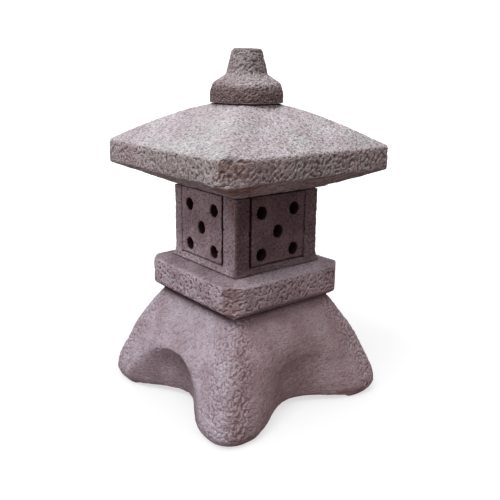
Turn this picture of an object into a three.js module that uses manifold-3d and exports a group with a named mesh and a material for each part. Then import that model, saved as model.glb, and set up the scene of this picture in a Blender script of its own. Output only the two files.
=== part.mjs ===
// A small set-on stone lantern, 303 mm (one shaku) tall. From the ground up: a base on four toes, a
// square platform, a light box whose four walls are pierced window panels, a hipped roof and a
// finial. The stones are stacked dry: registers and tenons cut in the stone keep them square, and
// two steel dowels hold the narrow joints. A tealight stands in the light box.
//
// Millimetres, +Z up. The origin is on the ground under the middle of the lantern, and the four
// sides face -Y, +X, +Y and -X.

import * as THREE from "three";
import { mergeVertices } from "three/addons/utils/BufferGeometryUtils.js";
import Module from "manifold-3d";

const wasm = await Module();
wasm.setup();

// ---------------------------------------------------------------- driving dimensions

const HEIGHT = 303;
const JOINT = 0.3; // between two pieces that rest on each other
const SIDES = 4;
const QUARTER = Math.PI / 2;

// Base: a flared, rounded square that runs out into four toes.
const BASE_TOP = 91;
const BASE_HALF = [
  [87.6, 0], [91, 4], [92.5, 10], [90.2, 21], [84, 37], [75.8, 57], [65.2, 76], [57.8, 88], [55.6, BASE_TOP],
];
const BASE_LEVELS = [0, 3, 8, 14, 21, 28, 34, 39, 43, 46, 48.4, 50, 56, 63, 70, 77, 83, 88, BASE_TOP];
const BASE_CORNER = { foot: 19, neck: 10 }; // radius of the corner, at the ground and at the top
// The hollow between two toes: an arch in each side, deepest at the ground.
const HOLLOW = { depth: 28, halfWidth: 64 };
// Its top, and how it ends there: an edge over 1 fades out softly, and one under 1 is crisp.
const HOLLOW_TOPS = [
  { top: 78, edge: 2.3 }, // front
  { top: 60, edge: 1.2 }, // right
  { top: 56, edge: 1 }, // back
  { top: 50, edge: 0.6 }, // left
];
const FOOT_ARCH = { halfSpan: 54, rise: 5 }; // lifts the base off the ground between its toes

// Platform: a square slab with cut corners, over a bevelled neck.
const PLATFORM = { bottom: BASE_TOP + JOINT, neck: 54.6, bevel: 98, half: 65, corner: 82.4, shoulder: 120.5 };
const PLATFORM_TOP = 122.4;
const REGISTER = { half: 29, height: 4 }; // the raised square that the light box drops over

// Light box: a square tube of four posts, with a rebated window in each wall.
const BOX = { half: 45.4, foot: 48.4, bottom: PLATFORM_TOP + JOINT, sill: 128, top: 187, inner: 30 };
const REBATE = { half: 30.6, depth: 11.4 };
const WINDOW = { half: 25.5, bottom: 130.5, top: 181.5 };
const PANEL = { half: 29.8, thickness: 11, holeRadius: 5.4, holePitch: 17.8, middle: 155 };
// How far each window stands to one side of its wall, seen from outside: front, right, back, left.
const WINDOW_SHIFT = [0, 0, 0, -4];

// Roof: shallow hips over an upright eave, and a soffit that falls to the light box.
const ROOF = { seat: BOX.top + JOINT, seatHalf: 46.5, eaveBottom: 205.2, eaveTop: 224.8, half: 88, corner: 121.6 };
const CHIPPED_CORNER = { out: 106, turn: -22.4 }; // the near corner of the eave, from the axis, in degrees off -Y
const HIP = { top: 258, half: 21.5, steps: 9, curve: 1.28 };
const ROOF_TENON = { half: 29, depth: 5 };
const FINIAL_SEAT = { radius: 30.2, top: 258.4 };

// Finial: a tapered knob on a round collar.
const FINIAL_BOTTOM = FINIAL_SEAT.top + JOINT;
const COLLAR = { radius: 31.6, belly: 267, shoulder: 28.6, shoulderAt: 275.2 };
const KNOB = { foot: 17.6, footAt: 284.5, top: 13.3, ease: 2 };

// Steel dowels, bedded in the lower stone of each pair.
const DOWEL_CLEARANCE = 0.3;
const BASE_DOWEL = { radius: 6, half: 14 };
const FINIAL_DOWEL = { radius: 4, half: 11 };

// Tealight, standing on the platform's register.
const CUP = { radius: 19, height: 14, wall: 0.5 };
const WAX_TOP = 12;
const WICK = { radius: 1.1, top: 19 };
const TAB = { radius: 6, thickness: 0.5, collar: 2, collarHeight: 3 };

// ---------------------------------------------------------------- solids from geometry

function toSolid(geometry) {
  const bare = geometry.clone();
  bare.deleteAttribute("normal");
  bare.deleteAttribute("uv");
  const merged = mergeVertices(bare, 1e-4);
  const vertProperties = new Float32Array(merged.attributes.position.array);
  const triVerts = new Uint32Array(merged.index.array);
  return new wasm.Manifold(new wasm.Mesh({ numProp: 3, vertProperties, triVerts }));
}

function toGeometry(solid) {
  const mesh = solid.getMesh();
  const geometry = new THREE.BufferGeometry();
  geometry.setAttribute("position", new THREE.BufferAttribute(mesh.vertProperties, mesh.numProp));
  geometry.setIndex(new THREE.BufferAttribute(mesh.triVerts, 1));
  return geometry;
}

function cut(geometry, ...tools) {
  return toGeometry(tools.reduce((solid, tool) => solid.subtract(toSolid(tool)), toSolid(geometry)));
}

function join(geometry, ...others) {
  return toGeometry(others.reduce((solid, other) => solid.add(toSolid(other)), toSolid(geometry)));
}

function common(geometry, other) {
  return toGeometry(toSolid(geometry).intersect(toSolid(other)));
}

// A solid of revolution about Z. The profile is a list of [radius, z], from the bottom up.
function turned(profile, segments = 40) {
  const points = profile.map(([radius, z]) => new THREE.Vector2(radius, z));
  return new THREE.LatheGeometry(points, segments).rotateX(QUARTER);
}

// The same for a square piece: the profile is a list of [half width, z].
function squared(profile) {
  const corners = profile.map(([half, z]) => [half * Math.SQRT2, z]);
  return turned(corners, SIDES).rotateZ(QUARTER / 2);
}

// A square block on the middle axis, from one height to another.
function block(half, bottom, top) {
  return new THREE.BoxGeometry(2 * half, 2 * half, top - bottom).translate(0, 0, (bottom + top) / 2);
}

function rod(radius, bottom, top, segments = 32) {
  const height = top - bottom;
  return new THREE.CylinderGeometry(radius, radius, height, segments)
    .rotateX(QUARTER)
    .translate(0, 0, bottom + height / 2);
}

// Cuts the four upright corners of a square piece back to a distance from the middle axis.
function withCutCorners(geometry, corner, top) {
  return common(geometry, block(corner, -1, top + 1).rotateZ(QUARTER / 2));
}

// A smooth curve through a few [half width, z] points, read off at a height.
function halfWidthAt(points, z) {
  const curve = new THREE.SplineCurve(points.map(([half, height]) => new THREE.Vector2(half, height)));
  let low = 0;
  let high = 1;
  for (let step = 0; step < 24; step += 1) {
    const middle = (low + high) / 2;
    if (curve.getPoint(middle).y < z) low = middle;
    else high = middle;
  }
  return curve.getPoint(low).x;
}

// ---------------------------------------------------------------- base

// One side of the base at a height, as seen from above: along the face, then round the corner.
function baseSide(z, { top, edge }) {
  const half = halfWidthAt(BASE_HALF, z);
  const radius = THREE.MathUtils.lerp(BASE_CORNER.foot, BASE_CORNER.neck, z / BASE_TOP);
  const straight = half - radius;
  const arch = Math.max(0, 1 - (z / top) ** 2); // 1 at the ground, 0 from the arch's top up
  const reach = HOLLOW.halfWidth * Math.sqrt(arch) + 0.01;
  const points = [];
  const faceSteps = 22;
  for (let step = 0; step <= faceSteps; step += 1) {
    const x = straight * ((2 * step) / faceSteps - 1);
    const share = 1 - THREE.MathUtils.smoothstep(Math.abs(x), 0, reach);
    points.push(new THREE.Vector3(x, -half + HOLLOW.depth * arch ** edge * share, z));
  }
  const cornerSteps = 5;
  for (let step = 1; step < cornerSteps; step += 1) {
    const angle = QUARTER * (step / cornerSteps);
    const x = straight + radius * Math.sin(angle);
    points.push(new THREE.Vector3(x, -straight - radius * Math.cos(angle), z));
  }
  return points;
}

function baseRing(z) {
  const axis = new THREE.Vector3(0, 0, 1);
  return HOLLOW_TOPS.flatMap((hollow, turn) =>
    baseSide(z, hollow).map((point) => point.applyAxisAngle(axis, turn * QUARTER)),
  );
}

// A closed solid through rings of points, from the lowest up, each anticlockwise from above.
function lofted(rings) {
  const count = rings[0].length;
  const vertices = rings.flat();
  const faces = [];
  for (let level = 0; level < rings.length - 1; level += 1) {
    for (let i = 0; i < count; i += 1) {
      const a = level * count + i;
      const b = level * count + ((i + 1) % count);
      faces.push(a, b, b + count, a, b + count, a + count);
    }
  }
  const bottom = vertices.push(new THREE.Vector3(0, 0, rings[0][0].z)) - 1;
  const top = vertices.push(new THREE.Vector3(0, 0, rings.at(-1)[0].z)) - 1;
  const last = (rings.length - 1) * count;
  for (let i = 0; i < count; i += 1) {
    const next = (i + 1) % count;
    faces.push(bottom, next, i, top, last + i, last + next);
  }
  return new THREE.BufferGeometry().setFromPoints(vertices).setIndex(faces);
}

// A long, low arched tunnel along Y that lifts the base off the ground between its toes.
function footArch() {
  const length = 2 * HEIGHT;
  return new THREE.CylinderGeometry(FOOT_ARCH.halfSpan, FOOT_ARCH.halfSpan, length, 24)
    .scale(1, 1, FOOT_ARCH.rise / FOOT_ARCH.halfSpan);
}

function base() {
  const arch = footArch();
  const socket = rod(BASE_DOWEL.radius + DOWEL_CLEARANCE, BASE_TOP - BASE_DOWEL.half - JOINT, BASE_TOP + 1);
  return cut(lofted(BASE_LEVELS.map(baseRing)), arch, arch.clone().rotateZ(QUARTER), socket);
}

// ---------------------------------------------------------------- platform

function platform() {
  const { bottom, neck, bevel, half, corner, shoulder } = PLATFORM;
  const profile = [
    [0, bottom],
    [neck, bottom],
    [neck + 2.5, bottom + 1.2],
    [half - 1, bevel - 0.6],
    [half, bevel + 1],
    [half, shoulder - 2],
    [half - 0.8, shoulder - 0.6],
    [half - 2.4, shoulder],
    [BOX.foot, PLATFORM_TOP],
    [0, PLATFORM_TOP],
  ];
  const slab = withCutCorners(squared(profile), corner, PLATFORM_TOP);
  const register = block(REGISTER.half, PLATFORM_TOP - 1, PLATFORM_TOP + REGISTER.height);
  const socketTop = bottom + BASE_DOWEL.half + JOINT;
  const socket = rod(BASE_DOWEL.radius + DOWEL_CLEARANCE, bottom - 1, socketTop);
  return cut(join(slab, register), socket);
}

// ---------------------------------------------------------------- light box

// The rebate and the window behind it, cut in the wall that faces -Y.
function windowCut() {
  const rebateHeight = BOX.top + 1 - BOX.sill;
  const rebate = new THREE.BoxGeometry(2 * REBATE.half, 2 * REBATE.depth, rebateHeight)
    .translate(0, -BOX.half, BOX.sill + rebateHeight / 2);
  const through = new THREE.BoxGeometry(2 * WINDOW.half, BOX.half, WINDOW.top - WINDOW.bottom)
    .translate(0, -BOX.half, (WINDOW.top + WINDOW.bottom) / 2);
  return join(rebate, through);
}

function boxFrame() {
  const { half, foot, bottom, sill, top, inner } = BOX;
  const outside = squared([
    [0, bottom],
    [foot, bottom],
    [foot - 2, bottom + 2],
    [half + 0.6, sill - 1.2],
    [half, sill + 2],
    [half, top],
    [0, top],
  ]);
  const chamber = block(inner, bottom - 1, top + 1);
  const windows = WINDOW_SHIFT.map((shift, turn) => windowCut().translate(shift, 0, 0).rotateZ(turn * QUARTER));
  return cut(outside, chamber, ...windows);
}

// A window panel in its rebate, facing -Y: five round holes, one at each corner and one between.
function windowPanel() {
  const bottom = BOX.sill + JOINT;
  const outline = new THREE.Shape();
  outline.moveTo(-PANEL.half, bottom);
  outline.lineTo(PANEL.half, bottom);
  outline.lineTo(PANEL.half, BOX.top);
  outline.lineTo(-PANEL.half, BOX.top);
  for (const [column, row] of [[-1, -1], [1, -1], [0, 0], [-1, 1], [1, 1]]) {
    const hole = new THREE.Path();
    const middle = PANEL.middle + row * PANEL.holePitch;
    hole.absarc(column * PANEL.holePitch, middle, PANEL.holeRadius, 0, 4 * QUARTER, true);
    outline.holes.push(hole);
  }
  const plate = new THREE.ExtrudeGeometry(outline, {
    depth: PANEL.thickness,
    bevelEnabled: false,
    curveSegments: 11,
  });
  return plate.rotateX(QUARTER).translate(0, PANEL.thickness - BOX.half, 0);
}

// ---------------------------------------------------------------- roof and finial

// The hip line, from the eave up: it falls away faster the further it is from the top.
function hipLine() {
  const eave = ROOF.half - 1.2;
  const points = [];
  for (let step = HIP.steps; step >= 0; step -= 1) {
    const out = step / HIP.steps;
    const half = HIP.half + (eave - HIP.half) * out;
    points.push([half, HIP.top - (HIP.top - ROOF.eaveTop - 0.8) * out ** HIP.curve]);
  }
  return points;
}

// What is missing from the near corner of the eave: all that is further out than one upright plane.
function eaveChip() {
  const { out, turn } = CHIPPED_CORNER;
  return new THREE.BoxGeometry(2 * ROOF.half, ROOF.half, HEIGHT)
    .translate(0, -out - ROOF.half / 2, HEIGHT / 2)
    .rotateZ(THREE.MathUtils.degToRad(turn));
}

function roof() {
  const { seat, seatHalf, eaveBottom, eaveTop, half, corner } = ROOF;
  const outside = squared([
    [0, seat],
    [seatHalf, seat],
    [half - 0.8, eaveBottom],
    [half, eaveBottom + 1],
    [half, eaveTop - 1.2],
    ...hipLine(),
    [0, HIP.top],
  ]);
  const tenon = block(ROOF_TENON.half, seat - ROOF_TENON.depth, seat + 1);
  const finialSeat = rod(FINIAL_SEAT.radius, HIP.top - 12, FINIAL_SEAT.top, 40);
  const socketBottom = FINIAL_SEAT.top - FINIAL_DOWEL.half - JOINT;
  const socket = rod(FINIAL_DOWEL.radius + DOWEL_CLEARANCE, socketBottom, FINIAL_SEAT.top + 1);
  return cut(join(withCutCorners(outside, corner, HIP.top), tenon, finialSeat), socket, eaveChip());
}

// Points of a smooth curve through a few [radius, z] points.
function curved(points, steps) {
  const curve = new THREE.SplineCurve(points.map(([radius, z]) => new THREE.Vector2(radius, z)));
  return curve.getPoints(steps).map((point) => [point.x, point.y]);
}

function finial() {
  const profile = [
    [0, FINIAL_BOTTOM],
    [COLLAR.radius - 0.6, FINIAL_BOTTOM],
    [COLLAR.radius, FINIAL_BOTTOM + 1],
    ...curved(
      [
        [COLLAR.radius, COLLAR.belly],
        [30, 272],
        [COLLAR.shoulder, COLLAR.shoulderAt],
        [22.5, 279.3],
        [18.4, 282],
        [KNOB.foot, KNOB.footAt],
      ],
      11,
    ),
    [KNOB.top, HEIGHT - KNOB.ease],
    [KNOB.top - KNOB.ease, HEIGHT],
    [0, HEIGHT],
  ];
  const socketTop = FINIAL_BOTTOM + FINIAL_DOWEL.half + JOINT;
  const socket = rod(FINIAL_DOWEL.radius + DOWEL_CLEARANCE, FINIAL_BOTTOM - 1, socketTop);
  return cut(turned(profile, 40), socket);
}

// ---------------------------------------------------------------- dowels and tealight

function dowel({ radius, half }, jointHeight) {
  const middle = jointHeight + JOINT / 2;
  const ease = 0.8;
  return turned(
    [
      [0, middle - half],
      [radius - ease, middle - half],
      [radius, middle - half + ease],
      [radius, middle + half - ease],
      [radius - ease, middle + half],
      [0, middle + half],
    ],
    24,
  );
}

function tealightCup() {
  const { radius, height, wall } = CUP;
  return turned(
    [
      [0, 0],
      [radius - 1, 0],
      [radius - 0.3, 0.4],
      [radius, height - 0.5],
      [radius + 0.5, height],
      [radius - wall, height],
      [radius - wall - 0.3, wall + 0.4],
      [radius - wall - 1, wall],
      [0, wall],
    ],
    36,
  );
}

// The wax fills the cup, over the wick's tab and round the wick.
function tealightWax() {
  const bottom = CUP.wall + JOINT;
  const rim = CUP.radius - CUP.wall - 0.3 - JOINT;
  const bore = WICK.radius + JOINT;
  const tabTop = CUP.wall + JOINT + TAB.thickness + JOINT;
  const collarTop = tabTop + TAB.collarHeight;
  return turned(
    [
      [TAB.radius + JOINT, bottom],
      [rim - 0.6, bottom],
      [rim, bottom + 0.6],
      [rim, WAX_TOP],
      [rim - 1.5, WAX_TOP - 0.5],
      [bore + 2.5, WAX_TOP - 0.8],
      [bore, WAX_TOP - 0.2],
      [bore, collarTop],
      [TAB.collar + JOINT, collarTop],
      [TAB.collar + JOINT, tabTop],
      [TAB.radius + JOINT, tabTop],
      [TAB.radius + JOINT, bottom],
    ],
    36,
  );
}

// The tab: a disc on the cup's floor, with a collar that grips the wick.
function wickTab() {
  const bottom = CUP.wall + JOINT;
  const disc = bottom + TAB.thickness;
  const bore = WICK.radius + 0.15;
  return turned(
    [
      [bore, bottom],
      [TAB.radius, bottom],
      [TAB.radius, disc],
      [TAB.collar, disc],
      [TAB.collar, disc + TAB.collarHeight],
      [bore, disc + TAB.collarHeight],
      [bore, bottom],
    ],
    24,
  );
}

function wick() {
  const bottom = CUP.wall + JOINT;
  return turned(
    [
      [0, bottom],
      [WICK.radius, bottom],
      [WICK.radius, WICK.top - 0.6],
      [WICK.radius - 0.5, WICK.top],
      [0, WICK.top],
    ],
    12,
  );
}

// ---------------------------------------------------------------- assembly

const STONE = { roughness: 0.95, metalness: 0 };
const STEEL = { color: 0x9a9a98, roughness: 0.4, metalness: 0.9 };

const lantern = new THREE.Group();

function place(name, geometry, finish, parent = lantern) {
  const mesh = new THREE.Mesh(geometry, new THREE.MeshStandardMaterial(finish));
  mesh.name = name;
  parent.add(mesh);
  return mesh;
}

place("base", base(), { color: 0x92808a, ...STONE });
place("base_dowel", dowel(BASE_DOWEL, BASE_TOP), STEEL);
place("platform", platform(), { color: 0x85777c, ...STONE });
place("light_box", boxFrame(), { color: 0x877a80, ...STONE });

const panelNames = ["panel_front", "panel_right", "panel_back", "panel_left"];
panelNames.forEach((name, turn) => {
  const panel = place(name, windowPanel(), { color: 0x7c6f76, ...STONE });
  panel.geometry.translate(WINDOW_SHIFT[turn], 0, 0);
  panel.rotation.z = turn * QUARTER;
});

place("roof", roof(), { color: 0xb0a4a8, ...STONE });
place("finial", finial(), { color: 0x9c9093, ...STONE });
place("finial_dowel", dowel(FINIAL_DOWEL, FINIAL_SEAT.top), STEEL);

const tealight = new THREE.Group();
tealight.position.z = PLATFORM_TOP + REGISTER.height + JOINT;
lantern.add(tealight);
place("tealight_cup", tealightCup(), { color: 0xc4c6c8, roughness: 0.3, metalness: 0.95 }, tealight);
place("tealight_wax", tealightWax(), { color: 0xefe9da, roughness: 0.5, metalness: 0 }, tealight);
place("wick_tab", wickTab(), { color: 0xb0b2b4, roughness: 0.35, metalness: 0.9 }, tealight);
place("wick", wick(), { color: 0xe6dfcf, roughness: 0.9, metalness: 0 }, tealight);

export default lantern;
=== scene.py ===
"""Looks of a small stone lantern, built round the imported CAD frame.

Each stone is its CAD solid carved further: remeshed finely, its arrises worn round, then pitted
and dressed by noise that always cuts inwards, so no stone grows past its CAD shape. What the
carving does is kept on the mesh as attributes, and the stone material reads them. The dowels and
the tealight are rebuilt in finer shapes of the same size.
"""

import itertools
import math

import bmesh
import bpy
import numpy as np
from mathutils import Matrix, Vector


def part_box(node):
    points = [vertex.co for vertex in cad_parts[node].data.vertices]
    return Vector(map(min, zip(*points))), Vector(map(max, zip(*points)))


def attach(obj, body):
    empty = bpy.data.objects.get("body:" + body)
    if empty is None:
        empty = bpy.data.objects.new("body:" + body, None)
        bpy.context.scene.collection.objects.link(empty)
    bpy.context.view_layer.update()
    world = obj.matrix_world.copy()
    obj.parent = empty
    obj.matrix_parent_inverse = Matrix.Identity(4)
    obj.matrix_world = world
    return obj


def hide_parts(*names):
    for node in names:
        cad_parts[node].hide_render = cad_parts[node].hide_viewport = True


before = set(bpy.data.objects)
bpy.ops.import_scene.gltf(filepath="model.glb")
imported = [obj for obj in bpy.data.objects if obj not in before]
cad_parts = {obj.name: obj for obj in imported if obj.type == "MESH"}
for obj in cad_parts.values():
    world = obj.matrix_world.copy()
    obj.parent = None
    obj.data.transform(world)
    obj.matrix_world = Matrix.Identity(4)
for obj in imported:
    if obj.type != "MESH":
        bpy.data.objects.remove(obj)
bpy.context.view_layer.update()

MM = 0.001

# ------------------------------------------------------------------ noise on points


def smooth_step(low, high, value):
    """0 where the value is at `low`, 1 where it is at `high`, and an S-curve between them."""
    t = np.clip((value - low) / (high - low), 0, 1)
    return t * t * (3 - 2 * t)


CORNERS = np.array(list(itertools.product((0, 1), repeat=3)))
NEIGHBOURS = np.array(list(itertools.product((-1, 0, 1), repeat=3)))
LATTICE_SHIFT = 4096.5  # keeps every lattice cell's number positive


def hashed(cells, seed):
    """A repeatable number from 0 to 1 for each lattice cell: large odd factors mix its bits."""
    x, y, z = (cells[..., axis].astype(np.uint32) for axis in range(3))
    mixed = x * np.uint32(73856093) ^ y * np.uint32(19349663) ^ z * np.uint32(83492791)
    mixed = mixed ^ np.uint32(seed * 2654435761 % 2**32)
    mixed = (mixed ^ (mixed >> np.uint32(15))) * np.uint32(2246822519)
    mixed = (mixed ^ (mixed >> np.uint32(13))) * np.uint32(3266489917)
    return (mixed ^ (mixed >> np.uint32(16))).astype(float) / 2**32


def soft_noise(points, size, seed):
    """Smooth noise, about -1 to 1, in lumps about `size` across."""
    at = points / size + LATTICE_SHIFT
    cell = np.floor(at)
    part = at - cell
    fade = part**3 * (part * (part * 6 - 15) + 10)
    total = np.zeros(len(points))
    for corner in CORNERS:
        toward = part - corner
        slope = np.stack([hashed(cell + corner, seed + k) * 2 - 1 for k in range(3)], -1)
        weight = np.prod(np.where(corner, fade, 1 - fade), -1)
        total += weight * (slope * toward).sum(-1)
    return total * 1.7


def warped(points, size, amount, seed):
    """The points pushed about, so that what is made on them loses its regular outline."""
    push = [soft_noise(points, size, seed + 3 * k) for k in range(3)]
    return points + amount * np.stack(push, -1)


def pits(points, size, width, seed):
    """1 at the middle of scattered uneven pits, 0 between them; `width` is a share of `size`."""
    at = warped(points, size * 0.6, size * 0.35, seed + 50) / size + LATTICE_SHIFT
    cell = np.floor(at)
    deepest = np.zeros(len(points))
    for step in NEIGHBOURS:
        near = cell + step
        middle = near + np.stack([hashed(near, seed + k) for k in range(3)], -1)
        radius = width * (0.45 + 0.75 * hashed(near, seed + 3))
        away = np.sqrt(((at - middle) ** 2).sum(-1)) / radius
        deepest = np.maximum(deepest, np.clip(1 - away**2, 0, 1))
    return deepest


def furrows(points, size, seed):
    """1 along the bottom of winding furrows, 0 on the worm-like ridges between them."""
    line = np.abs(soft_noise(warped(points, size, size * 0.5, seed + 20), size, seed))
    return np.clip(1 - line / 0.32, 0, 1) ** 1.5


STROKE = np.array((0.66, -0.66, 0.36))  # the way the tool ran: rising to the right on the front
STRETCH = 0.45  # how far its marks are drawn out that way


def strokes(points, width, seed):
    """1 along the bottom of short slanting tool strokes about `width` wide, 0 between them."""
    along = (points @ STROKE)[:, None] * STROKE
    drawn = points - along * STRETCH
    line = soft_noise(warped(drawn, width * 2.5, width * 0.5, seed + 30), width, seed)
    return smooth_step(0.0, 0.55, line)


# ------------------------------------------------------------------ stone meshes


def coordinates(mesh):
    """The mesh's vertices, a row for each."""
    flat = np.empty(len(mesh.vertices) * 3)
    mesh.vertices.foreach_get("co", flat)
    return flat.reshape(-1, 3)


def vertex_normals(mesh):
    """The direction outwards at each vertex."""
    flat = np.empty(len(mesh.vertices) * 3)
    mesh.vertex_normals.foreach_get("vector", flat)
    return flat.reshape(-1, 3)


def set_coordinates(mesh, points):
    """Move the mesh's vertices to the points."""
    mesh.vertices.foreach_set("co", points.ravel())
    mesh.update()


def store(mesh, name, values):
    """Keep a number for each vertex, for the material to read."""
    attribute = mesh.attributes.new(name, "FLOAT", "POINT")
    attribute.data.foreach_set("value", values.astype(np.float32))


def neighbour_mean(mesh, values, rounds):
    """Values averaged with those of the vertices one edge away, several times over."""
    ends = np.empty(len(mesh.edges) * 2, np.int64)
    mesh.edges.foreach_get("vertices", ends)
    a, b = ends.reshape(-1, 2).T
    size = len(values)
    count = np.bincount(a, minlength=size) + np.bincount(b, minlength=size)
    for _ in range(rounds):
        columns = [
            np.bincount(a, values[b, k], size) + np.bincount(b, values[a, k], size)
            for k in range(values.shape[1])
        ]
        values = 0.5 * values + 0.5 * np.stack(columns, -1) / count[:, None]
    return values


def fine_copy(node, name, voxel):
    """A new object with the CAD node's shape in an even mesh of small quads."""
    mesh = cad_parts[node].data.copy()
    welded = bmesh.new()
    welded.from_mesh(mesh)
    bmesh.ops.remove_doubles(welded, verts=welded.verts, dist=1e-6)
    welded.to_mesh(mesh)
    welded.free()
    piece = bpy.data.objects.new(name, mesh)
    bpy.context.scene.collection.objects.link(piece)
    remesh = piece.modifiers.new("Remesh", "REMESH")
    remesh.mode = "VOXEL"
    remesh.voxel_size = voxel
    bpy.context.view_layer.update()
    graph = bpy.context.evaluated_depsgraph_get()
    piece.data = bpy.data.meshes.new_from_object(piece.evaluated_get(graph))
    piece.modifiers.clear()
    piece.data.name = name
    return piece


def carved(node, voxel, wear_rounds, dressing, beds=()):
    """The stone of a CAD node: finely meshed, worn at its arrises, and dressed.

    `dressing` gives how deep to cut at each point, from the points and the normals there.
    `beds` are the heights of the level faces that other stones or the ground touch.
    """
    piece = fine_copy(node, node + "_stone", voxel)
    mesh = piece.data
    sharp = coordinates(mesh)
    worn = neighbour_mean(mesh, sharp, wear_rounds)
    set_coordinates(mesh, worn)
    normals = vertex_normals(mesh)
    lost = ((sharp - worn) * normals).sum(-1)  # positive on arrises, negative in inner corners
    depth = dressing(worn, normals)
    for bed in beds:
        depth = np.where(np.abs(sharp[:, 2] - bed) < 0.7 * MM, 0.1 * depth, depth)
    set_coordinates(mesh, worn - normals * depth[:, None])
    around = neighbour_mean(mesh, depth[:, None], 7)[:, 0]
    # positive on worn arrises; negative in inner corners, which the material paints darker as painted
    # shade
    store(mesh, "wear_and_crease_shade", np.clip(lost / (0.6 * MM), -1, 1))
    store(mesh, "pit", np.clip((depth - around) / (0.3 * MM), -1, 1))
    mesh.shade_smooth()
    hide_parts(node)
    return piece


def wavy(points, amount, size, seed):
    """Slow unevenness of a hand-cut face, in metres, never outwards."""
    return amount * (0.5 + 0.5 * np.clip(soft_noise(points, size, seed), -1, 1))


def picked(points, seed, size, lumps=0.0, holes=0.0, worms=0.0, marks=0.0):
    """Depth of pointed stone, in metres: soft lumps, pits, furrows and tool strokes.

    `size` is how far apart they are, and the others are how deep each kind is cut.
    """
    depth = wavy(points, lumps, size, seed)
    if holes:
        depth = depth + holes * pits(points, size * 1.05, 0.6, seed + 100)
    if worms:
        depth = depth + worms * furrows(points, size * 1.3, seed + 200)
    return depth + marks * strokes(points, size, seed + 300)


def base_dressing(points, normals):
    """Coarse and worm-like along the four ridges, finer on the sides."""
    x, y = np.abs(points[:, 0]), np.abs(points[:, 1])
    diagonal = np.minimum(x, y) / np.maximum(x, y)
    ridge = smooth_step(0.55, 0.85, diagonal + 0.1 * soft_noise(points, 14 * MM, 5))
    ridge = ridge * smooth_step(-0.2, 0.2, normals[:, 2] + 0.4)
    rubbed = smooth_step(0.3, 0.7, np.maximum(-normals[:, 1], normals[:, 0]))
    plain = picked(points, 1, lumps=0.25 * MM, marks=0.4 * MM, size=3.2 * MM)
    sparse = picked(points, 21, lumps=0.2 * MM, holes=0.35 * MM, size=6.5 * MM)
    plain = plain * (1 - 0.75 * rubbed) + sparse * rubbed
    coarse = picked(points, 11, lumps=0.4 * MM, worms=1.15 * MM, marks=0.3 * MM, size=3.2 * MM)
    return plain * (1 - ridge) + coarse * ridge + wavy(points, 0.7 * MM, 24 * MM, 7)


def slab_dressing(points, normals):
    """Coarse strokes on the upright sides, smoother on top."""
    side = 1 - smooth_step(0.3, 0.8, np.abs(normals[:, 2]))
    top = picked(points, 51, lumps=0.2 * MM, marks=0.25 * MM, size=2.6 * MM)
    coarse = picked(points, 61, lumps=0.4 * MM, holes=0.35 * MM, marks=0.8 * MM, size=2.5 * MM)
    return top * (1 - side) + coarse * side + wavy(points, 0.6 * MM, 18 * MM, 57)


def box_dressing(points, normals):
    """Fine strokes all over."""
    rough = picked(points, 101, lumps=0.3 * MM, holes=0.15 * MM, marks=0.5 * MM, size=2.4 * MM)
    return rough + wavy(points, 0.4 * MM, 14 * MM, 107)


def hole_share(points):
    """1 on the walls of the panels' round holes and on their backs, 0 on outer faces and tops."""
    low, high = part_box("panel_front")
    out = np.maximum(np.abs(points[:, 0]), np.abs(points[:, 1]))
    share = smooth_step(-low.y - 0.8 * MM, -low.y - 2.2 * MM, out)
    return share * smooth_step(high.z - 0.8 * MM, high.z - 2 * MM, points[:, 2])


def panel_dressing(points, normals):
    """As the box, but smooth in the holes."""
    return box_dressing(points, normals) * (1 - 0.8 * hole_share(points))


def roof_dressing(points, normals):
    """Fine strokes on the slopes, coarse picking on the eave, broad lumps under it."""
    side = 1 - smooth_step(0.3, 0.75, normals[:, 2])
    slope = picked(points, 151, lumps=0.3 * MM, holes=0.15 * MM, marks=0.45 * MM, size=2.3 * MM)
    coarse = picked(points, 161, lumps=0.4 * MM, holes=0.4 * MM, marks=0.85 * MM, size=2.5 * MM)
    under = smooth_step(-0.3, -0.6, normals[:, 2])
    soffit = picked(points, 171, lumps=0.6 * MM, marks=1.3 * MM, size=6 * MM)
    coarse = coarse * (1 - under) + soffit * under
    return slope * (1 - side) + coarse * side + wavy(points, 0.7 * MM, 25 * MM, 157)


def finial_dressing(points, normals):
    """The deepest picking of all the stones."""
    rough = picked(points, 201, lumps=0.4 * MM, holes=0.5 * MM, marks=0.9 * MM, size=2.3 * MM)
    return rough + wavy(points, 0.5 * MM, 14 * MM, 207)


# ------------------------------------------------------------------ materials


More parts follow.
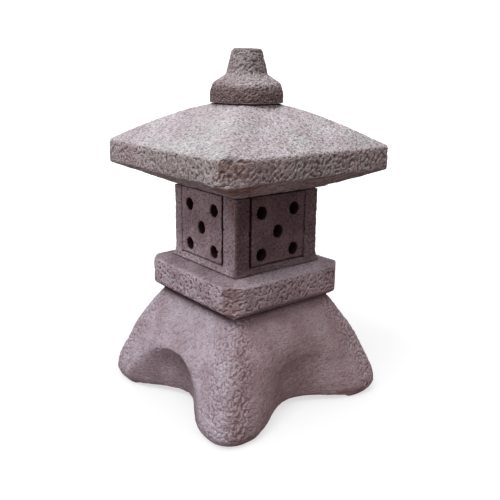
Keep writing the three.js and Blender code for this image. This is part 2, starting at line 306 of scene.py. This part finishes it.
class Nodes:
    """Short calls that add and wire the nodes of one material."""

    def __init__(self, name):
        self.material = bpy.data.materials.new(name)
        self.material.use_nodes = True
        self.nodes = self.material.node_tree.nodes
        self.links = self.material.node_tree.links
        self.nodes.clear()
        self.position = self.add("ShaderNodeTexCoord").outputs["Object"]

    def add(self, kind, inputs=None, **settings):
        node = self.nodes.new(kind)
        for key, value in settings.items():
            setattr(node, key, value)
        for key, value in (inputs or {}).items():
            if isinstance(value, bpy.types.NodeSocket):
                self.links.new(value, node.inputs[key])
            else:
                node.inputs[key].default_value = value
        return node

    def noise(self, size, detail=3.0, rough=0.55, distortion=0.0):
        """Noise from 0 to 1 in lumps about `size` metres across."""
        inputs = {
            "Vector": self.position,
            "Scale": 1 / size,
            "Detail": detail,
            "Roughness": rough,
            "Distortion": distortion,
        }
        return self.add("ShaderNodeTexNoise", inputs).outputs["Fac"]

    def cells(self, size):
        """Distance from the nearest of scattered points, `size` metres apart."""
        inputs = {"Vector": self.position, "Scale": 1 / size}
        return self.add("ShaderNodeTexVoronoi", inputs).outputs["Distance"]

    def strokes(self, size, detail=2.0):
        """Noise drawn out along the tool strokes, `size` metres wide."""
        along = self.vector("DOT_PRODUCT", {0: self.position, 1: tuple(STROKE)}, "Value")
        shift = self.vector("SCALE", {0: tuple(STROKE * -STRETCH), "Scale": along})
        drawn = self.vector("ADD", {0: self.position, 1: shift})
        inputs = {"Vector": drawn, "Scale": 1 / size, "Detail": detail, "Roughness": 0.6}
        return self.add("ShaderNodeTexNoise", inputs).outputs["Fac"]

    def attribute(self, name):
        return self.add("ShaderNodeAttribute", attribute_name=name).outputs["Fac"]

    def remap(self, value, low, high, to_low=0.0, to_high=1.0):
        """The value taken smoothly from the range low to high to the range to_low to to_high."""
        inputs = {
            "Value": value,
            "From Min": low,
            "From Max": high,
            "To Min": to_low,
            "To Max": to_high,
        }
        return self.add("ShaderNodeMapRange", inputs, interpolation_type="SMOOTHSTEP").outputs["Result"]

    def vector(self, operation, inputs, output="Vector"):
        return self.add("ShaderNodeVectorMath", inputs, operation=operation).outputs[output]

    def math(self, operation, a, b=0.0):
        return self.add("ShaderNodeMath", {0: a, 1: b}, operation=operation).outputs["Value"]

    def mix(self, share, a, b, blend="MIX"):
        """Colour a turned into colour b by a share from 0 to 1."""
        node = self.add("ShaderNodeMix", data_type="RGBA", blend_type=blend)
        for key, value in (("Factor_Float", share), ("A_Color", a), ("B_Color", b)):
            socket = next(s for s in node.inputs if s.identifier == key)
            if isinstance(value, bpy.types.NodeSocket):
                self.links.new(value, socket)
            else:
                socket.default_value = value
        return next(s for s in node.outputs if s.identifier == "Result_Color")

    def times(self, colour, factors):
        """The colour multiplied channel by channel."""
        return self.mix(1.0, colour, (*factors, 1), "MULTIPLY")

    def finish(self, colour, roughness, height=None, bump=0.0, **constants):
        """Wire up the shader, with a bump `bump` metres high where a height is given."""
        shader = self.add("ShaderNodeBsdfPrincipled", {"Base Color": colour, "Roughness": roughness})
        for key, value in constants.items():
            shader.inputs[key.replace("_", " ")].default_value = value
        if height is not None:
            made = self.add("ShaderNodeBump", {"Height": height, "Distance": bump, "Strength": 1.0})
            self.links.new(made.outputs["Normal"], shader.inputs["Normal"])
        out = self.add("ShaderNodeOutputMaterial")
        self.links.new(shader.outputs["BSDF"], out.inputs["Surface"])
        return self.material


def tone(red, green, blue):
    """A colour from its 0-255 screen values, as the shaders take it."""
    return tuple(((value / 255 + 0.055) / 1.055) ** 2.4 for value in (red, green, blue)) + (1,)


JOINT_DIRT_AND_SHADE = tone(58, 34, 30)  # the dark brown of dirt in joints, and of painted shade in holes and under the slab

# What the clean colour is multiplied by, channel by channel.
LICHEN = (0.93, 1.0, 0.96)
DUSKY = (0.46, 0.42, 0.42)
PALE = (1.3, 1.3, 1.3)
STAIN_AND_WARM_SHADE = (0.64, 0.45, 0.38)
SHADED = (0.39, 0.33, 0.33)


def grained(n, colour, dusky, pale, grain):
    """The colour with dusky and pale grain and tool strokes, and the height of that grain."""
    speckle = n.noise(1.1 * MM, 3.0, 0.75)
    marks = n.strokes(1.25 * MM)
    coarse = n.strokes(3.0 * MM)
    colour = n.mix(n.remap(marks, 0.46, 0.32, 0, 0.9 * grain), colour, dusky)
    colour = n.mix(n.remap(marks, 0.53, 0.66, 0, 0.9 * grain), colour, pale)
    colour = n.mix(n.remap(speckle, 0.45, 0.34, 0, 0.8 * grain), colour, dusky)
    colour = n.mix(n.remap(speckle, 0.55, 0.66, 0, 0.5 * grain), colour, pale)
    colour = n.mix(n.remap(coarse, 0.48, 0.3, 0, 0.4 * grain), colour, dusky)
    height = n.math("ADD", n.math("MULTIPLY", marks, 1.3), n.math("MULTIPLY", coarse, 1.3))
    return colour, n.math("ADD", height, n.math("MULTIPLY", speckle, 0.8))


def stone(name, light, dark, pit_tone, grain=1.0, pitted=0.85, bump=0.6, lichen=0.4):
    """Weathered stone: clouds of two tones, grain, stains, worn pale arrises, pale peaks as painted
    highlight, and painted shade in pits, inner corners and shaded parts.
    """
    n = Nodes(name)
    clouds = n.remap(n.noise(24 * MM, 4.0, 0.62), 0.36, 0.64)
    colour = n.mix(clouds, light, dark)
    grey = n.remap(n.noise(60 * MM, 2.0), 0.44, 0.6, 0, lichen)
    colour = n.mix(grey, colour, n.times(colour, LICHEN))
    dusky = n.times(colour, DUSKY)
    pale = n.times(colour, PALE)
    colour, height = grained(n, colour, dusky, pale, grain)
    # real stains, and warm painted shade on parts turned from the light
    colour = n.mix(n.attribute("stain_and_warm_shade"), colour, n.times(colour, STAIN_AND_WARM_SHADE))
    colour = n.mix(n.attribute("shade"), colour, n.times(colour, SHADED))
    wear_and_crease_shade = n.attribute("wear_and_crease_shade")
    pit = n.attribute("pit")
    # worn arrises paler
    colour = n.mix(n.remap(wear_and_crease_shade, 0.1, 0.9, 0, 0.3), colour, light)
    # painted highlight on peaks, and painted shade in pits
    colour = n.mix(n.remap(pit, -0.1, -0.8, 0, 0.4), colour, n.mix(0.5, light, pale))
    colour = n.mix(n.remap(pit, 0.1, 0.9, 0, pitted), colour, n.mix(0.5, dusky, pit_tone))
    # painted shade in inner corners
    colour = n.mix(n.remap(wear_and_crease_shade, -0.1, -0.8, 0, 0.6), colour, pit_tone)
    # dark joints, and painted shade in the holes and in the joint under the slab
    colour = n.mix(n.attribute("seam"), colour, JOINT_DIRT_AND_SHADE)
    roughness = n.remap(n.noise(5 * MM), 0.3, 0.7, 0.84, 0.98)
    return n.finish(colour, roughness, height, bump * MM, Specular_IOR_Level=0.2)


# ------------------------------------------------------------------ stones


def box_seams(points):
    """1 on the upright joints of the four window panels, less on the joints under them."""
    x, y, z = points.T
    out = np.maximum(np.abs(x), np.abs(y))
    on_wall = out > -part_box("panel_front")[0].y - 5 * MM
    width = (1.25 + 0.6 * soft_noise(points, 9 * MM, 301)) * MM
    seam = np.zeros(len(points))
    for side, across, outward in (("front", x, -y), ("right", y, x), ("back", x, y), ("left", y, -x)):
        low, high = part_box("panel_" + side)
        axis = 0 if side in ("front", "back") else 1
        near, far = low[axis], high[axis]
        edge = np.minimum(np.abs(across - near), np.abs(across - far))
        upright = smooth_step(1.0, 0.3, edge / width) * (z > low.z - MM)
        inside = (across > near - MM) & (across < far + MM)
        level = smooth_step(1.0, 0.3, np.abs(z - low.z) / width) * inside * 0.3
        facing = (outward > out - 0.1 * MM) & on_wall
        seam = np.maximum(seam, np.maximum(upright, level) * facing)
    return seam


ALONG_FACET = (0.925, -0.382)  # level, from left to right along the near corner's cut face
RAGGED = 1.5 * MM  # how far the edges of its stain wander


def near_facet(points, middle, half_width, fade, low, high):
    """1 on the near corner's face between two heights, falling to 0 only softly on its right."""
    across = (points[:, 0] - middle[0]) * ALONG_FACET[0] + (points[:, 1] - middle[1]) * ALONG_FACET[1]
    across = across + RAGGED * soft_noise(points, 5 * MM, 401)
    share = smooth_step(-half_width - 1.2 * MM, -half_width + 1.2 * MM, across)
    share = share * smooth_step(half_width + fade, half_width - fade, across)
    height = points[:, 2] + RAGGED * soft_noise(points, 5 * MM, 407)
    share = share * smooth_step(low - 2 * MM, low + 2 * MM, height)
    share = share * smooth_step(high + 1.5 * MM, high - 1.5 * MM, height)
    near = (points[:, 0] < middle[0] + 60 * MM) & (points[:, 1] < middle[1] + 30 * MM)
    return share * near


def dress(piece, body, material, stain_and_warm_shade=0.0, shade=0.0, seam=0.0):
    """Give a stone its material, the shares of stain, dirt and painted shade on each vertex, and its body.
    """
    count = len(piece.data.vertices)
    for name, share in (("stain_and_warm_shade", stain_and_warm_shade), ("shade", shade), ("seam", seam)):
        store(piece.data, name, np.clip(np.full(count, share), 0, 1))
    piece.data.materials.clear()
    piece.data.materials.append(material)
    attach(piece, body)


def build_base():
    """Paler and cleaner than the rest, with painted shade in the left arch and round the slab's joint.

    The right half is a little browner and darker: warm painted shade on the side turned from the light.
    """
    low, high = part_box("base")
    material = stone(
        "base_material", tone(200, 187, 196), tone(181, 163, 170), tone(122, 94, 96),
        grain=0.6, pitted=0.7, lichen=0.15,
    )
    piece = carved("base", 1.0 * MM, 8, base_dressing, (low.z, high.z))
    x, y, z = coordinates(piece.data).T
    joint = smooth_step(high.z - 3 * MM, high.z - 0.5 * MM, z)
    arch_half, arch_top = 0.69 * low.x, 0.54 * high.z
    under_arch = smooth_step(0.0, 0.35, 1 - (y / arch_half) ** 2 - (z / arch_top) ** 2)
    left = under_arch * (-x > 0.6 * np.abs(y))
    right = smooth_step(-4 * MM, 10 * MM, x - y)
    # painted shade in the groove under the slab and in the left arch
    shade = np.maximum((0.45 - 0.3 * right) * joint, 0.42 * left)
    # painted shade along the line where the base meets the slab
    joint_line_shade = smooth_step(high.z - 2.2 * MM, high.z - 0.6 * MM, z) * (0.7 - 0.3 * right)
    # warm painted shade on the right half, turned from the light, and in the left arch
    stain_and_warm_shade = np.maximum(0.53 * right, 0.12 * left)
    dress(piece, "base", material, stain_and_warm_shade=stain_and_warm_shade, shade=shade, seam=joint_line_shade)


def build_platform():
    """Painted shade under the slab, on the left of its top and, warm, on its right side, turned from the
    light; a brown stain on its near facet.
    """
    low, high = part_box("platform")
    material = stone(
        "platform_material", tone(205, 189, 197), tone(181, 162, 168), tone(86, 62, 62), grain=1.15
    )
    piece = carved("platform", 0.75 * MM, 8, slab_dressing, (low.z,))
    points = coordinates(piece.data)
    x, y, z = points.T
    middle = (low.x + 7 * MM, low.y + 7 * MM)
    facet = near_facet(points, middle, 8 * MM, 4 * MM, low.z + 3 * MM, high.z - 7 * MM)
    under = smooth_step(low.z + 8 * MM, low.z + 5 * MM, z)
    on_top = smooth_step(high.z - 7.5 * MM, high.z - 6 * MM, z)
    left = smooth_step(-2 * MM, 2 * MM, y - x)
    right_side = (1 - left) * (1 - on_top) * (1 - under)
    # a brown stain on the near facet; warm painted shade on the right side, turned from the light
    stain_and_warm_shade = np.maximum(0.72 * facet, 0.32 * right_side)
    # painted shade under the slab and on the left of its top
    shade = np.maximum(under * (0.45 + 0.55 * left), on_top * 0.5 * left)
    shade = np.maximum(shade, 0.144 * facet)
    dress(piece, "platform", material, stain_and_warm_shade=stain_and_warm_shade, shade=shade)


def build_light_box():
    """Painted shade on the front, turned from the light, and inside; a brown stain at the top of the near
    post.
    """
    low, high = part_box("light_box")
    material = stone("box_material", tone(200, 182, 188), tone(176, 154, 160), tone(76, 56, 58))
    piece = carved("light_box", 0.7 * MM, 5, box_dressing, (low.z, high.z))
    points = coordinates(piece.data)
    x, y = points[:, :2].T
    front = smooth_step(low.y + 6 * MM, low.y + 4.4 * MM, y)
    near = smooth_step(0, -10 * MM, x)
    corner = np.array((low.x + 3 * MM, low.y + 3 * MM, high.z))
    away = np.linalg.norm((points - corner) * np.array((1, 1, 0.6)), axis=1)
    blotch = smooth_step(17 * MM, 5 * MM, away + 3 * MM * soft_noise(points, 7 * MM, 411))
    inside = np.maximum(np.abs(x), np.abs(y)) < -low.y - 8 * MM
    # painted shade on the front, turned from the light, and inside the box
    dress(
        piece, "light_box", material,
        seam=box_seams(points), stain_and_warm_shade=0.8 * blotch * (1 - front),
        shade=np.maximum(front * (0.8 + 0.2 * near), inside),
    )


def build_panels():
    """The four window panels: painted shade all over the front one, turned from the light, and in the
    holes.
    """
    material = stone("panel_material", tone(198, 178, 185), tone(172, 150, 156), tone(72, 52, 54))
    for side in ("front", "right", "back", "left"):
        piece = carved("panel_" + side, 0.45 * MM, 5, panel_dressing)
        points = coordinates(piece.data)
        # dark joints, and painted shade on the walls and backs of the holes
        seam = np.maximum(box_seams(points), hole_share(points))
        # painted shade on the front panel, turned from the light
        shade = 0.86 if side == "front" else 0.0
        dress(piece, "light_box", material, seam=seam, shade=shade)


def eave_ends():
    """The lowest and highest points of the CAD roof's upright eave."""
    points = coordinates(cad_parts["roof"].data)
    rim = points[points[:, 0] > points[:, 0].max() - 0.01 * MM]
    return rim[:, 2].min(), rim[:, 2].max()


def build_roof():
    """Brown on the near facet, the eave and the soffit's near corner, streaks under the eave, and painted
    shade on the front of the eave.
    """
    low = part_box("roof")[0]
    bottom, top = eave_ends()
    material = stone(
        "roof_material", tone(212, 204, 207), tone(195, 184, 187), tone(88, 68, 67),
        grain=1.4, bump=0.8, lichen=0.8,
    )
    piece = carved("roof", 0.9 * MM, 8, roof_dressing, (low.z,))
    points = coordinates(piece.data)
    z = points[:, 2]
    middle = (low.x + 12 * MM, low.y + 5 * MM)
    facet = near_facet(points, middle, 12.5 * MM, 7 * MM, bottom + 2.8 * MM, top + 0.9 * MM)
    eave = smooth_step(top + 1.9 * MM, top - 0.1 * MM, z)
    front = smooth_step(low.y + 4 * MM, low.y + 2 * MM, points[:, 1])
    below = smooth_step(bottom + 0.3 * MM, bottom - 1.7 * MM, z)
    away = np.linalg.norm(points[:, :2] - np.array((low.x + 20 * MM, low.y + 14 * MM)), axis=1)
    away = away + 6 * MM * soft_noise(points, 12 * MM, 421)
    under_corner = below * smooth_step(34 * MM, 12 * MM, away)
    streaks = below * 0.6 * smooth_step(0.05, 0.35, soft_noise(points, 4.5 * MM, 431))
    # painted shade on the front of the eave, turned from the light
    dress(
        piece, "roof", material,
        stain_and_warm_shade=np.maximum(0.95 * facet, 0.8 * under_corner + 0.4 * eave * (1 - 0.5 * below)),
        shade=0.26 * eave * front * (1 - below) + streaks,
    )


def build_finial():
    """Darkest round its collar, with painted shade where it sits on the roof, and a little dark on the
    knob.
    """
    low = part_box("finial")[0]
    material = stone(
        "finial_material", tone(196, 185, 187), tone(170, 154, 155), tone(72, 54, 52),
        grain=1.8, pitted=1.0, bump=0.8,
    )
    piece = carved("finial", 0.4 * MM, 9, finial_dressing, (low.z,))
    z = coordinates(piece.data)[:, 2]
    knob = smooth_step(low.z + 22 * MM, low.z + 30 * MM, z)
    collar = smooth_step(low.z + 16 * MM, low.z + 10 * MM, z)
    # painted shade, also warm through the stain channel, round the collar where it meets the roof
    shade = np.maximum(0.32 * knob, 0.75 * collar)
    dress(piece, "finial", material, shade=shade, stain_and_warm_shade=0.5 * collar)


# ------------------------------------------------------------------ small pieces


def metal(name, shade, roughness, grain):
    """Dull metal with darker streaks, `grain` metres across."""
    n = Nodes(name)
    streaks = n.noise(grain, 4.0, 0.6)
    colour = n.mix(n.remap(streaks, 0.3, 0.7, 0, 0.35), shade, tone(70, 68, 66))
    rough = n.remap(n.noise(grain * 3), 0.3, 0.7, roughness, roughness + 0.2)
    return n.finish(colour, rough, streaks, 0.05 * MM, Metallic=1.0)


def wax_material():
    """Cream wax with a few darker spots."""
    n = Nodes("wax_material")
    colour = n.mix(n.noise(3 * MM), tone(240, 235, 220), tone(226, 218, 198))
    colour = n.mix(n.remap(n.cells(5 * MM), 0.2, 0.1, 0, 0.3), colour, tone(176, 158, 128))
    return n.finish(colour, n.remap(n.noise(2 * MM), 0.3, 0.7, 0.3, 0.5), n.noise(1.5 * MM), 0.05 * MM)


def wick_material(charred_from):
    """Cotton, charred black at the tip."""
    n = Nodes("cotton_material")
    colour = n.mix(n.noise(0.5 * MM), tone(232, 224, 206), tone(190, 176, 150))
    height = n.add("ShaderNodeSeparateXYZ", {0: n.position}).outputs["Z"]
    colour = n.mix(n.remap(height, charred_from - MM, charred_from + MM), colour, tone(32, 27, 25))
    return n.finish(colour, 0.9, n.cells(0.4 * MM), 0.1 * MM)


def turned_mesh(name, profile, foot, closed, ripple, segments):
    """The mesh swept round the axis by (radius, height) points in millimetres over `foot`."""
    built = bmesh.new()
    rings = []
    for radius, height in profile:
        ring = []
        for step in range(segments):
            angle = 2 * math.pi * step / segments
            inward = ripple(angle, radius, height) if ripple else 0.0
            reach = max(radius - inward, 0.0) * MM
            place = (reach * math.cos(angle), reach * math.sin(angle), foot + height * MM)
            ring.append(built.verts.new(place))
        rings.append(ring)
    pairs = list(zip(rings, rings[1:]))
    if closed:
        pairs.append((rings[-1], rings[0]))
    for ring, above in pairs:
        for step in range(segments):
            following = (step + 1) % segments
            built.faces.new((ring[step], ring[following], above[following], above[step]))
    bmesh.ops.remove_doubles(built, verts=built.verts, dist=1e-7)
    bmesh.ops.recalc_face_normals(built, faces=built.faces)
    mesh = bpy.data.meshes.new(name)
    built.to_mesh(mesh)
    built.free()
    return mesh


def spun(node, profile, material, body, closed=False, ripple=None, segments=96):
    """A turned piece in place of a CAD node, through (radius, height) points in millimetres.

    Heights are over the node's own bottom. A closed profile is a loop, so it leaves a bore.
    `ripple` gives how far a point is drawn in, from its angle, radius and height.
    """
    name = node + "_turned"
    mesh = turned_mesh(name, profile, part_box(node)[0].z, closed, ripple, segments)
    mesh.shade_smooth()
    mesh.set_sharp_from_angle(angle=math.radians(50))
    mesh.materials.append(material)
    piece = bpy.data.objects.new(name, mesh)
    bpy.context.scene.collection.objects.link(piece)
    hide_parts(node)
    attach(piece, body)


def fluted(angle, radius, height):
    """The upright pleats of a foil cup: none on its floor or at its rim."""
    wall = 1 if radius > 18 and 0.8 < height < 13.3 else 0
    return 0.14 * wall * (1 + math.cos(48 * angle))


def twisted(angle, radius, height):
    """Three strands laid round each other."""
    return 0.16 * (1 + math.cos(3 * angle - 1.5 * height)) if radius > 0.4 else 0.0


def ribbed_bar(radius, length, pitch=1.5):
    """The outline of a steel bar with chamfered ends and shallow ribs round it."""
    outline = [(0, 0), (radius - 0.9, 0), (radius - 0.25, 0.7)]
    ribs = int((length - 3) / pitch)
    start = (length - ribs * pitch) / 2
    for rib in range(ribs):
        at = start + rib * pitch
        outline += [(radius - 0.3, at), (radius, at + 0.35), (radius, at + 0.85), (radius - 0.3, at + 1.2)]
    return outline + [(radius - 0.25, length - 0.7), (radius - 0.9, length), (0, length)]


# Half sections of the tealight's pieces: (radius, height over the piece's bottom), in millimetres.
CUP_OUTLINE = (
    (0, 0.25), (12, 0.25), (13, 0), (17.8, 0), (18.3, 0.2), (18.6, 0.7), (18.7, 1.2), (18.8, 5), (18.9, 9),
    (18.95, 12.9), (19.1, 13.5), (19.4, 13.7), (19.5, 13.85), (19.35, 14), (19.0, 13.9), (18.65, 13.4),
    (18.55, 12.9), (18.45, 9), (18.35, 5), (18.25, 1.2), (17.9, 0.65), (17.3, 0.5), (0, 0.5),
)
WAX_OUTLINE = (
    (6.4, 0.1), (16.6, 0.1), (17.6, 0.5), (17.85, 1.2), (17.85, 10.9), (17.8, 11.15), (17.5, 11.0),
    (16.6, 10.6), (14.5, 10.35), (11, 10.2), (7, 10.1), (4, 10.15), (2.6, 10.35), (1.9, 10.75),
    (1.5, 10.9), (1.42, 10.6), (1.42, 4.5), (2.3, 4.4), (2.35, 1.0), (6.3, 0.9),
)
TAB_OUTLINE = (
    (1.27, 0), (5.4, 0), (5.9, 0.1), (6, 0.25), (5.9, 0.4), (5.2, 0.5), (2.6, 0.5), (2.1, 0.7), (2.0, 1.0),
    (1.95, 3.2), (1.8, 3.5), (1.45, 3.5), (1.27, 3.3),
)


def build_dowels():
    """The two ribbed steel bars that keep the stones in line."""
    steel = metal("steel_material", tone(165, 165, 163), 0.35, 1.5 * MM)
    for node, body in (("base_dowel", "base"), ("finial_dowel", "roof")):
        low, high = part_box(node)
        outline = ribbed_bar((high.x - low.x) / 2 / MM - 0.02, (high.z - low.z) / MM)
        spun(node, outline, steel, body, segments=64)


def build_tealight():
    """A foil cup, dished wax, the tab that holds the wick, and the wick."""
    foil = metal("aluminium_material", tone(205, 207, 209), 0.25, 2.5 * MM)
    tab_steel = metal("tab_material", tone(178, 178, 176), 0.3, 1.0 * MM)
    spun("tealight_cup", CUP_OUTLINE, foil, "tealight", ripple=fluted, segments=384)
    spun("tealight_wax", WAX_OUTLINE, wax_material(), "tealight", closed=True)
    spun("wick_tab", TAB_OUTLINE, tab_steel, "tealight", closed=True)
    low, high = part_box("wick")
    height = (high.z - low.z) / MM
    wick = [(0, 0)] + [(1.08, height * k / 60) for k in range(58)] + [(0.8, height - 0.4), (0, height)]
    cotton = wick_material(high.z - 4 * MM)
    spun("wick", wick, cotton, "tealight", ripple=twisted, segments=36)


# ------------------------------------------------------------------ stage


FLOOR_FLAT = 1.6  # radius of its flat part
FLOOR_RISE = 1.2  # radius of the curve up to the wall
FLOOR_WALL = 2.2  # height of the wall above that curve


def floor_mesh():
    """A round sweep: flat under the lantern, curving up into a wall far outside it."""
    profile = [(FLOOR_FLAT * k / 4, 0.0) for k in range(5)]
    for k in range(1, 13):
        angle = math.radians(90 * k / 12)
        profile.append((FLOOR_FLAT + FLOOR_RISE * math.sin(angle), FLOOR_RISE * (1 - math.cos(angle))))
    profile.append((FLOOR_FLAT + FLOOR_RISE, FLOOR_RISE + FLOOR_WALL))
    sweep = bmesh.new()
    edge = [sweep.verts.new((x, 0, z)) for x, z in profile]
    edges = [sweep.edges.new(pair) for pair in zip(edge, edge[1:])]
    bmesh.ops.spin(
        sweep, geom=edge + edges, cent=(0, 0, 0), axis=(0, 0, 1), angle=2 * math.pi, steps=64
    )
    bmesh.ops.remove_doubles(sweep, verts=sweep.verts, dist=1e-5)
    bmesh.ops.recalc_face_normals(sweep, faces=sweep.faces)
    mesh = bpy.data.meshes.new("floor")
    sweep.to_mesh(mesh)
    sweep.free()
    mesh.shade_smooth()
    return mesh


def floor_material():
    """Pale, and a little brighter far out, so that its far edge can't be seen."""
    n = Nodes("floor_material")
    colour = n.mix(n.noise(0.3, 2.0), (0.40, 0.40, 0.40, 1), (0.43, 0.43, 0.43, 1))
    away = n.vector("LENGTH", {0: n.position}, "Value")
    glow = n.remap(away, 0.1, 0.9, 0.62, 1.0)
    material = n.finish(colour, 0.95, Emission_Color=(1, 1, 1, 1))
    shader = next(node for node in n.nodes if node.type == "BSDF_PRINCIPLED")
    n.links.new(glow, shader.inputs["Emission Strength"])
    return material


def build_floor():
    """The floor, which the camera sees but which sends no light back to the lantern."""
    floor = bpy.data.objects.new("floor", floor_mesh())
    bpy.context.scene.collection.objects.link(floor)
    floor.data.materials.append(floor_material())
    floor.visible_diffuse = False
    floor.visible_glossy = False
    floor.visible_shadow = False


def build_key():
    """One large soft light on the left, a little in front."""
    data = bpy.data.lights.new("key", "AREA")
    data.shape = "DISK"
    data.size = 0.7
    data.energy = 10.8
    data.color = (0.97, 0.98, 1.0)
    light = bpy.data.objects.new("key", data)
    bpy.context.scene.collection.objects.link(light)
    middle = Vector((0, 0, 0.15))
    direction = Vector((-0.52, -0.15, 0.84)).normalized()
    light.location = middle + direction * 1.7
    light.rotation_euler = (-direction).to_track_quat("-Z", "Y").to_euler()


# The sky's light by how far a direction turns towards an axis: 0 away from it, 1 along it.
SKY_UP = (0, 0, 1)
SKY_BY_HEIGHT = (
    (0.4, (0.15, 0.1, 0.092)),
    (0.62, (0.175, 0.146, 0.142)),
    (0.8, (0.44, 0.43, 0.44)),
    (1, (1.5, 1.5, 1.53)),
)
SKY_LEFT = (-1, -0.1, 0.3)
SKY_ADDED_ON_LEFT = (
    (0.5, (0, 0, 0)),
    (1, (0.29, 0.295, 0.32)),
)


def graded(nodes, links, direction, toward, stops):
    """A colour that runs through `stops` as the direction turns towards `toward`."""
    turn = nodes.new("ShaderNodeVectorMath")
    turn.operation = "DOT_PRODUCT"
    turn.inputs[1].default_value = Vector(toward).normalized()
    links.new(direction, turn.inputs[0])
    share = nodes.new("ShaderNodeMath")
    share.operation = "MULTIPLY_ADD"
    share.inputs[1].default_value = 0.5
    share.inputs[2].default_value = 0.5
    links.new(turn.outputs["Value"], share.inputs[0])
    ramp = nodes.new("ShaderNodeValToRGB")
    ramp.color_ramp.interpolation = "EASE"
    elements = ramp.color_ramp.elements
    for element, (position, colour) in zip(elements, (stops[0], stops[-1])):
        element.position = position
        element.color = (*colour, 1)
    for position, colour in stops[1:-1]:
        elements.new(position).color = (*colour, 1)
    links.new(share.outputs["Value"], ramp.inputs["Fac"])
    return ramp.outputs["Color"]


def build_sky():
    """A soft dome: bright above, cooler on the left, dim and warm on the right and from below."""
    world = bpy.data.worlds.new("world")
    world.use_nodes = True
    nodes = world.node_tree.nodes
    links = world.node_tree.links
    direction = nodes.new("ShaderNodeTexCoord").outputs["Generated"]
    both = nodes.new("ShaderNodeVectorMath")
    both.operation = "ADD"
    links.new(graded(nodes, links, direction, SKY_UP, SKY_BY_HEIGHT), both.inputs[0])
    links.new(graded(nodes, links, direction, SKY_LEFT, SKY_ADDED_ON_LEFT), both.inputs[1])
    links.new(both.outputs["Vector"], nodes["Background"].inputs["Color"])
    bpy.context.scene.world = world


# ------------------------------------------------------------------ camera

CAMERA_AZIMUTH = -39.38  # degrees; 0 looks along +Y
CAMERA_ELEVATION = 15.83
CAMERA_ROLL = 0.83
CAMERA_DISTANCE = 0.5795
CAMERA_AIM = Vector((0.00563, -0.00462, 0.13024))
FOCAL_SHARE = 641.2 / 500  # focal length over the picture's width
OFF_CENTRE = (-2.95 / 500, -2.0 / 500)  # likewise over the picture's width


def build_camera():
    """The photo's point of view, looking a little down at the near corner."""
    data = bpy.data.cameras.new("camera")
    data.sensor_width = 36
    data.lens = FOCAL_SHARE * data.sensor_width
    data.shift_x, data.shift_y = OFF_CENTRE
    data.clip_start = 0.01
    camera = bpy.data.objects.new("camera", data)
    bpy.context.scene.collection.objects.link(camera)
    turn, tilt = math.radians(CAMERA_AZIMUTH), math.radians(CAMERA_ELEVATION)
    flat = math.cos(tilt)
    back = Vector((math.sin(turn) * flat, -math.cos(turn) * flat, math.sin(tilt)))
    look = (-back).to_track_quat("-Z", "Y").to_matrix().to_4x4()
    roll = Matrix.Rotation(math.radians(CAMERA_ROLL), 4, "Z")
    camera.matrix_world = Matrix.Translation(CAMERA_AIM + back * CAMERA_DISTANCE) @ look @ roll
    bpy.context.scene.camera = camera


build_camera()
build_base()
build_platform()
build_light_box()
build_panels()
build_roof()
build_finial()
build_dowels()
build_tealight()
build_floor()
build_key()
build_sky()
bpy.context.scene.view_settings.view_transform = "Standard"
